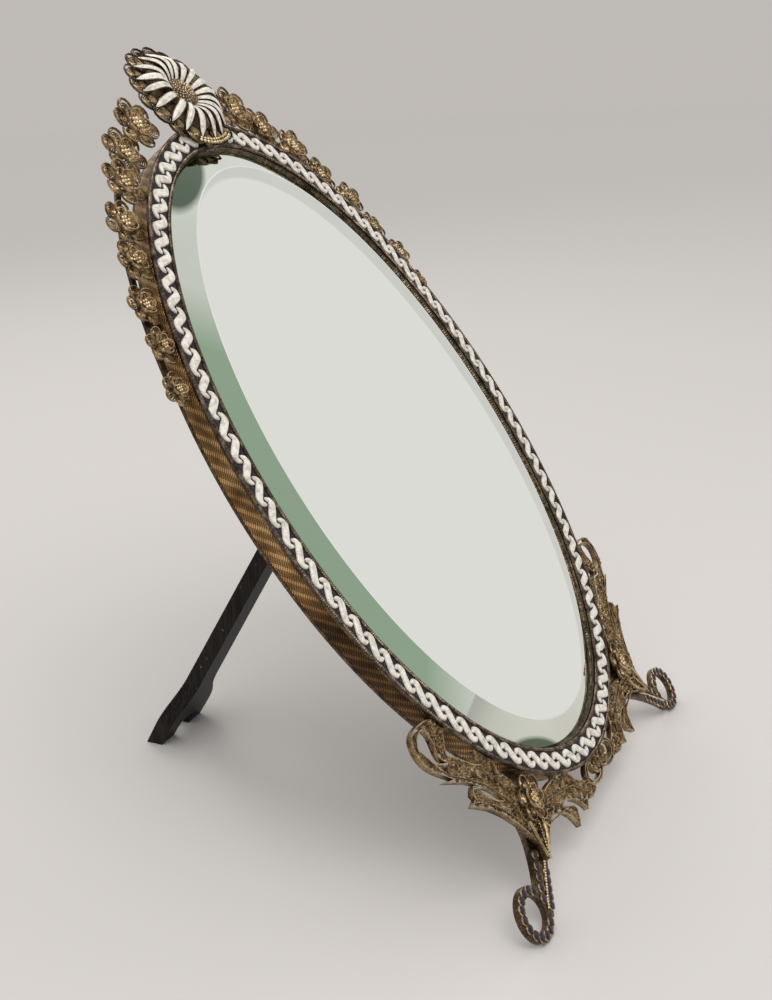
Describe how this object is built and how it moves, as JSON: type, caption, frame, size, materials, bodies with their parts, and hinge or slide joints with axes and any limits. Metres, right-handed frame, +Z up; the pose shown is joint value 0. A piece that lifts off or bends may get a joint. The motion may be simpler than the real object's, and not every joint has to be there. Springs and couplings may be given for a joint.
{
  "type": "vanity mirror",
  "caption": "Oval bevelled dressing-table mirror in a gilt and enamel frame with a daisy crest, flower garlands, ring feet and a folding easel strut.",
  "frame": {"origin": "On the floor, under the middle of the part's bounding box.", "axes": "+X to the viewer's right along the mirror's width, +Y from the glass back to the strut, +Z up. The glass faces -Y and leans back."},
  "size_m": [0.1808, 0.1863, 0.2577],
  "materials": {
    "antique_gilt": "antique gilt brass, dark brown in the hollows and bright on the high spots",
    "worn_brass": "worn, slightly tarnished brass",
    "white_enamel": "glossy creamy white vitreous enamel, slightly domed",
    "dark_enamel": "glossy dark blue-black vitreous enamel",
    "silvered_glass": "silvered plate glass with a wide polished bevel",
    "backing_card": "matt grey-brown card",
    "ebonised_wood": "black stained and waxed wood, lightly worn"
  },
  "bodies": {
    "frame": {"back_board": "ebonised_wood", "back_rim": "antique_gilt", "backing_card": "backing_card", "board_leaf_screws": "worn_brass", "bottom_loops": "antique_gilt", "crest_bracket": "antique_gilt", "crest_granules": "antique_gilt", "crest_rivets": "worn_brass", "crest_rosette": "antique_gilt", "daisy_dome": "antique_gilt", "daisy_petals": "white_enamel", "enamel_ground": "dark_enamel", "face_band": "antique_gilt", "foot_rivets": "worn_brass", "hinge_board_leaf": "worn_brass", "hinge_pin": "worn_brass", "inner_milled_wire": "worn_brass", "left_flower_1": "antique_gilt", "left_flower_2": "antique_gilt", "left_flower_3": "antique_gilt", "left_flower_4": "antique_gilt", "left_flower_5": "antique_gilt", "left_flower_6": "antique_gilt", "left_flower_7": "antique_gilt", "left_flower_8": "antique_gilt", "left_foot_flower": "antique_gilt", "left_foot_leg": "antique_gilt", "left_foot_scales": "dark_enamel", "left_foot_scroll": "antique_gilt", "left_foot_wing": "antique_gilt", "left_garland_stem": "antique_gilt", "mirror_glass": "silvered_glass", "outer_milled_wire": "worn_brass", "right_flower_1": "antique_gilt", "right_flower_2": "antique_gilt", "right_flower_3": "antique_gilt", "right_flower_4": "antique_gilt", "right_flower_5": "antique_gilt", "right_flower_6": "antique_gilt", "right_flower_7": "antique_gilt", "right_flower_8": "antique_gilt", "right_foot_flower": "antique_gilt", "right_foot_leg": "antique_gilt", "right_foot_scales": "dark_enamel", "right_foot_scroll": "antique_gilt", "right_foot_wing": "antique_gilt", "right_garland_stem": "antique_gilt", "side_wall": "antique_gilt", "sight_wall": "antique_gilt", "turn_button_screws": "worn_brass", "wave_scrolls": "white_enamel"},
    "strut": {"strut": "ebonised_wood", "hinge_strut_leaf": "worn_brass", "strut_leaf_screws": "worn_brass"},
    "button_1": {"turn_button_1": "worn_brass"},
    "button_2": {"turn_button_2": "worn_brass"},
    "button_3": {"turn_button_3": "worn_brass"},
    "button_4": {"turn_button_4": "worn_brass"}
  },
  "joints": [
    {"name": "strut_hinge", "type": "hinge", "parent": "frame", "child": "strut", "pos_m": [0, -0.00262, 0.13116], "axis": [1, 0, 0], "range_deg": [-65.5, 0]},
    {"name": "button_1_turn", "type": "hinge", "parent": "frame", "child": "button_1", "pos_m": [0.05684, 0.03773, 0.19832], "axis": [0, 0.8453, -0.5344], "range_deg": [-90, 90]},
    {"name": "button_2_turn", "type": "hinge", "parent": "frame", "child": "button_2", "pos_m": [-0.05684, 0.03773, 0.19832], "axis": [0, 0.8453, -0.5344], "range_deg": [-90, 90]},
    {"name": "button_3_turn", "type": "hinge", "parent": "frame", "child": "button_3", "pos_m": [-0.05684, -0.05912, 0.04511], "axis": [0, 0.8453, -0.5344], "range_deg": [-90, 90]},
    {"name": "button_4_turn", "type": "hinge", "parent": "frame", "child": "button_4", "pos_m": [0.05684, -0.05912, 0.04511], "axis": [0, 0.8453, -0.5344], "range_deg": [-90, 90]}
  ]
}
